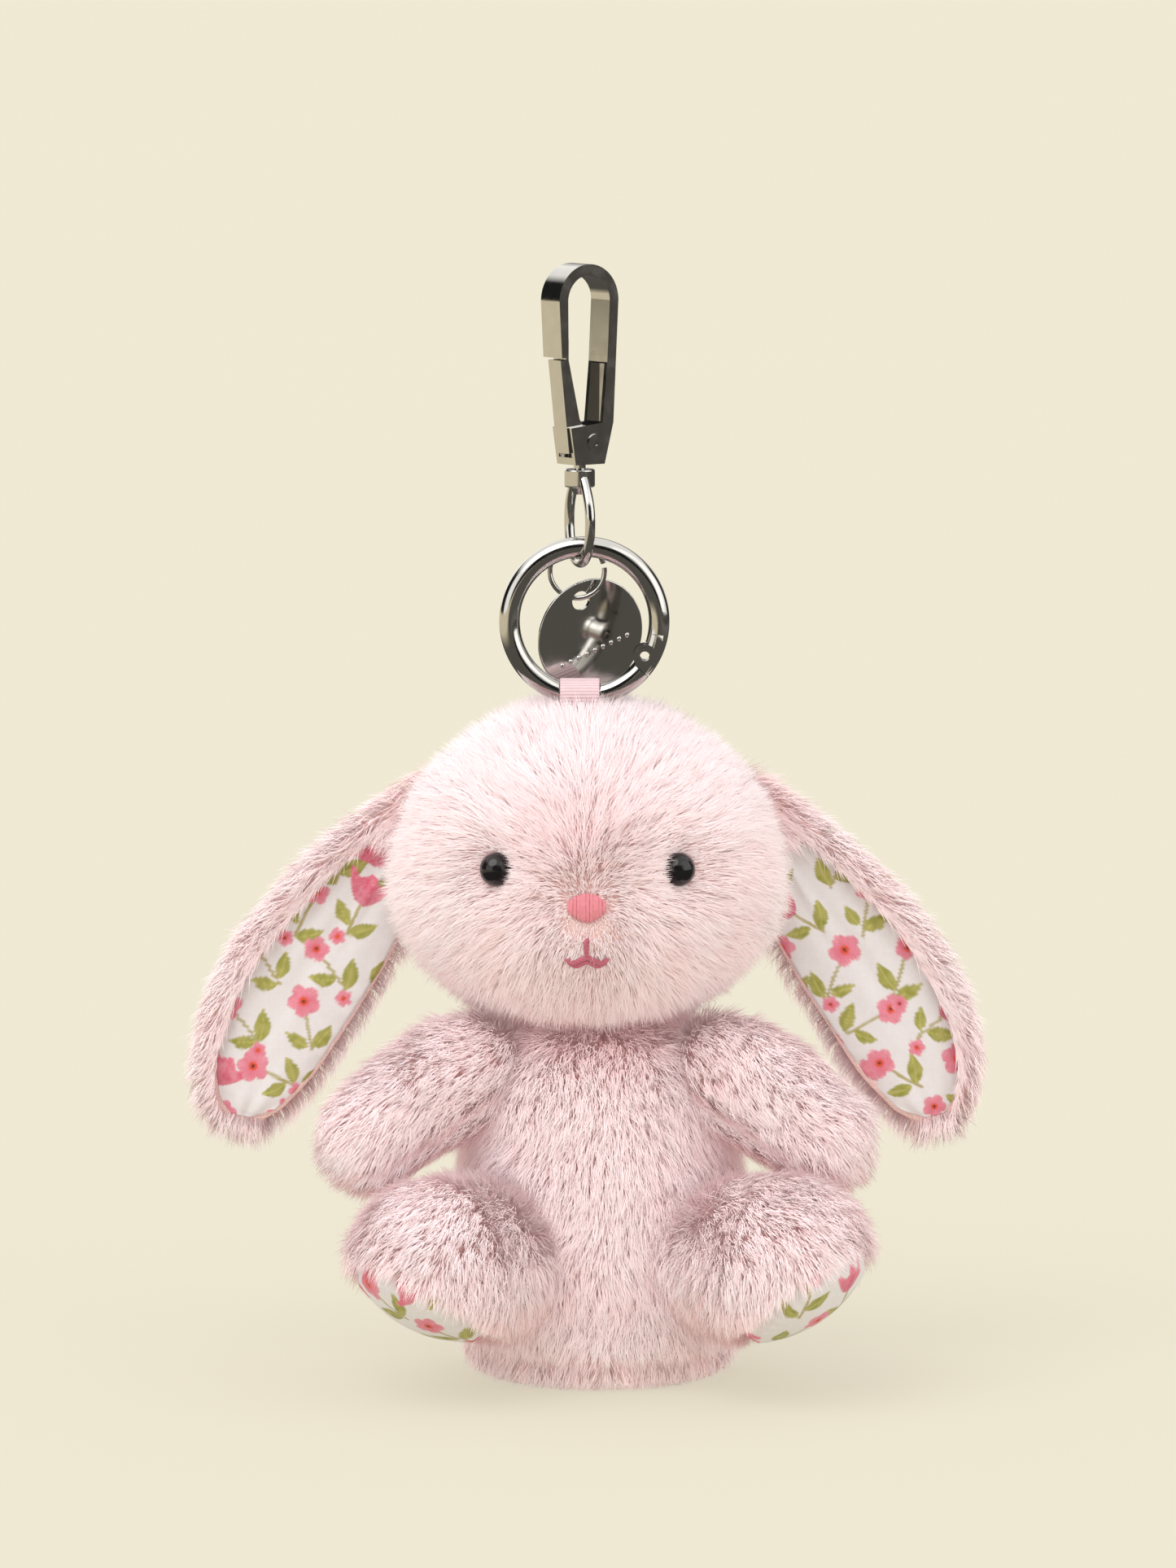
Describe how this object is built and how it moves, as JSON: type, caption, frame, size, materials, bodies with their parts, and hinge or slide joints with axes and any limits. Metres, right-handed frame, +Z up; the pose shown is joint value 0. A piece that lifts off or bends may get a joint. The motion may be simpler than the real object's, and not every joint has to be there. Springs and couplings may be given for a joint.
{
  "type": "plush rabbit keychain",
  "caption": "Small sitting plush rabbit with floral-lined lop ears, hung by a ribbon from a hinged key ring, a round metal tag and a swivel snap hook.",
  "frame": {"origin": "the lowest-facing point inside the hook's bend, where the hook hangs on its support", "axes": "+Z up along the hanging line, the rabbit faces -Y, +X is to the right as seen from the front"},
  "size_m": [0.1532, 0.0844, 0.2168],
  "materials": {
    "nickel": "bright nickel plate, polished, slightly warm",
    "spring_steel": "drawn spring wire",
    "ribbon": "pale pink grosgrain with fine cross ribs",
    "plush": "pale pink plush with a long soft pile",
    "filling": "white polyester fibre",
    "bead": "glossy black bead",
    "washer": "moulded plastic",
    "rose_thread": "rose satin stitch",
    "printed_cotton": "white cotton with a scattered print of small pink flowers and olive leaves"
  },
  "bodies": {
    "hook": {"hook_body": "nickel", "gate_rivet": "nickel", "gate_spring": "spring_steel", "swivel_stem": "nickel"},
    "hook_lever": {"hook_gate": "nickel"},
    "eye": {"swivel_eye": "nickel"},
    "key_ring": {"ring_body": "nickel", "ring_hinge_pin": "nickel", "ring_gate_spring": "spring_steel"},
    "key_ring_gate": {"ring_gate": "nickel"},
    "jump_ring": {"tag_ring": "nickel"},
    "tag": {"tag_disc": "nickel"},
    "head": {"ribbon_loop": "ribbon", "head_skin": "plush", "head_stuffing": "filling", "eye_bead_left": "bead", "eye_bead_right": "bead", "eye_washer_left": "washer", "eye_washer_right": "washer", "nose_embroidery": "rose_thread", "mouth_embroidery": "rose_thread"},
    "torso": {"body_skin": "plush", "body_stuffing": "filling", "base_panel": "plush", "tail_pompom": "plush"},
    "ear_left": {"ear_left_plush": "plush", "ear_left_lining": "printed_cotton"},
    "ear_right": {"ear_right_plush": "plush", "ear_right_lining": "printed_cotton"},
    "arm_left": {"arm_left_skin": "plush", "arm_left_stuffing": "filling"},
    "arm_right": {"arm_right_skin": "plush", "arm_right_stuffing": "filling"},
    "leg_left": {"leg_left_skin": "plush", "leg_left_stuffing": "filling", "foot_pad_left": "printed_cotton"},
    "leg_right": {"leg_right_skin": "plush", "leg_right_stuffing": "filling", "foot_pad_right": "printed_cotton"}
  },
  "joints": [
    {"name": "hook_gate_hinge", "type": "hinge", "parent": "hook", "child": "hook_lever", "pos_m": [0.00116, 0.00087, -0.03245], "axis": [-0.6018, 0.7986, 0], "range_deg": [0, 20], "stiffness_Nm_per_rad": 0.02, "springref_deg": -20.05, "deforming": ["gate_spring"]},
    {"name": "hook_swivel", "type": "hinge", "parent": "hook", "child": "eye", "pos_m": [0, 0, -0.0393], "axis": [0, 0, 1], "continuous": true},
    {"name": "key_ring_swing", "type": "hinge", "parent": "eye", "child": "key_ring", "pos_m": [0, 0, -0.0527], "axis": [1, 0, 0], "range_deg": [-60, 0]},
    {"name": "key_ring_gate_hinge", "type": "hinge", "parent": "key_ring", "child": "key_ring_gate", "pos_m": [0.0126, 0, -0.07384], "axis": [0, 1, 0], "range_deg": [0, 40], "stiffness_Nm_per_rad": 0.012, "springref_deg": -22.92, "deforming": ["ring_gate_spring", "ribbon_loop"]},
    {"name": "jump_ring_swing", "type": "hinge", "parent": "eye", "child": "jump_ring", "pos_m": [-0.00051, 0.00275, -0.05239], "axis": [1, 0, 0], "range_deg": [0, 45]},
    {"name": "tag_swing", "type": "hinge", "parent": "jump_ring", "child": "tag", "pos_m": [-0.00051, 0.00275, -0.06299], "axis": [1, 0, 0], "range_deg": [0, 15]},
    {"name": "plush_swing", "type": "hinge", "parent": "key_ring", "child": "head", "pos_m": [0, 0, -0.0817], "axis": [1, 0, 0], "range_deg": [-60, 30]},
    {"name": "neck_bend", "type": "hinge", "parent": "head", "child": "torso", "pos_m": [0.0028, 0.0015, -0.1442], "axis": [1, 0, 0], "range_deg": [-8, 7], "stiffness_Nm_per_rad": 0.25, "springref_deg": -0.55},
    {"name": "ear_left_lift", "type": "hinge", "parent": "head", "child": "ear_left", "pos_m": [-0.0295, 0.007, -0.108], "axis": [0, 1, 0], "range_deg": [0, 60], "stiffness_Nm_per_rad": 0.03, "springref_deg": 1.06},
    {"name": "ear_right_lift", "type": "hinge", "parent": "head", "child": "ear_right", "pos_m": [0.0325, 0.007, -0.108], "axis": [0, -1, 0], "range_deg": [0, 60], "stiffness_Nm_per_rad": 0.03, "springref_deg": 1.06},
    {"name": "arm_left_lift", "type": "hinge", "parent": "torso", "child": "arm_left", "pos_m": [-0.022, -0.0075, -0.1555], "axis": [0, 1, 0], "range_deg": [0, 15], "stiffness_Nm_per_rad": 0.03, "springref_deg": 0.36},
    {"name": "arm_right_lift", "type": "hinge", "parent": "torso", "child": "arm_right", "pos_m": [0.0285, -0.0075, -0.1555], "axis": [0, -1, 0], "range_deg": [0, 6], "stiffness_Nm_per_rad": 0.03, "springref_deg": 0.36},
    {"name": "leg_left_swing", "type": "hinge", "parent": "torso", "child": "leg_left", "pos_m": [-0.011, -0.0155, -0.192], "axis": [1, 0, 0], "range_deg": [-2, 3], "stiffness_Nm_per_rad": 0.06, "springref_deg": -0.54},
    {"name": "leg_right_swing", "type": "hinge", "parent": "torso", "child": "leg_right", "pos_m": [0.024, -0.0155, -0.192], "axis": [1, 0, 0], "range_deg": [-2, 4], "stiffness_Nm_per_rad": 0.06, "springref_deg": -0.53}
  ]
}
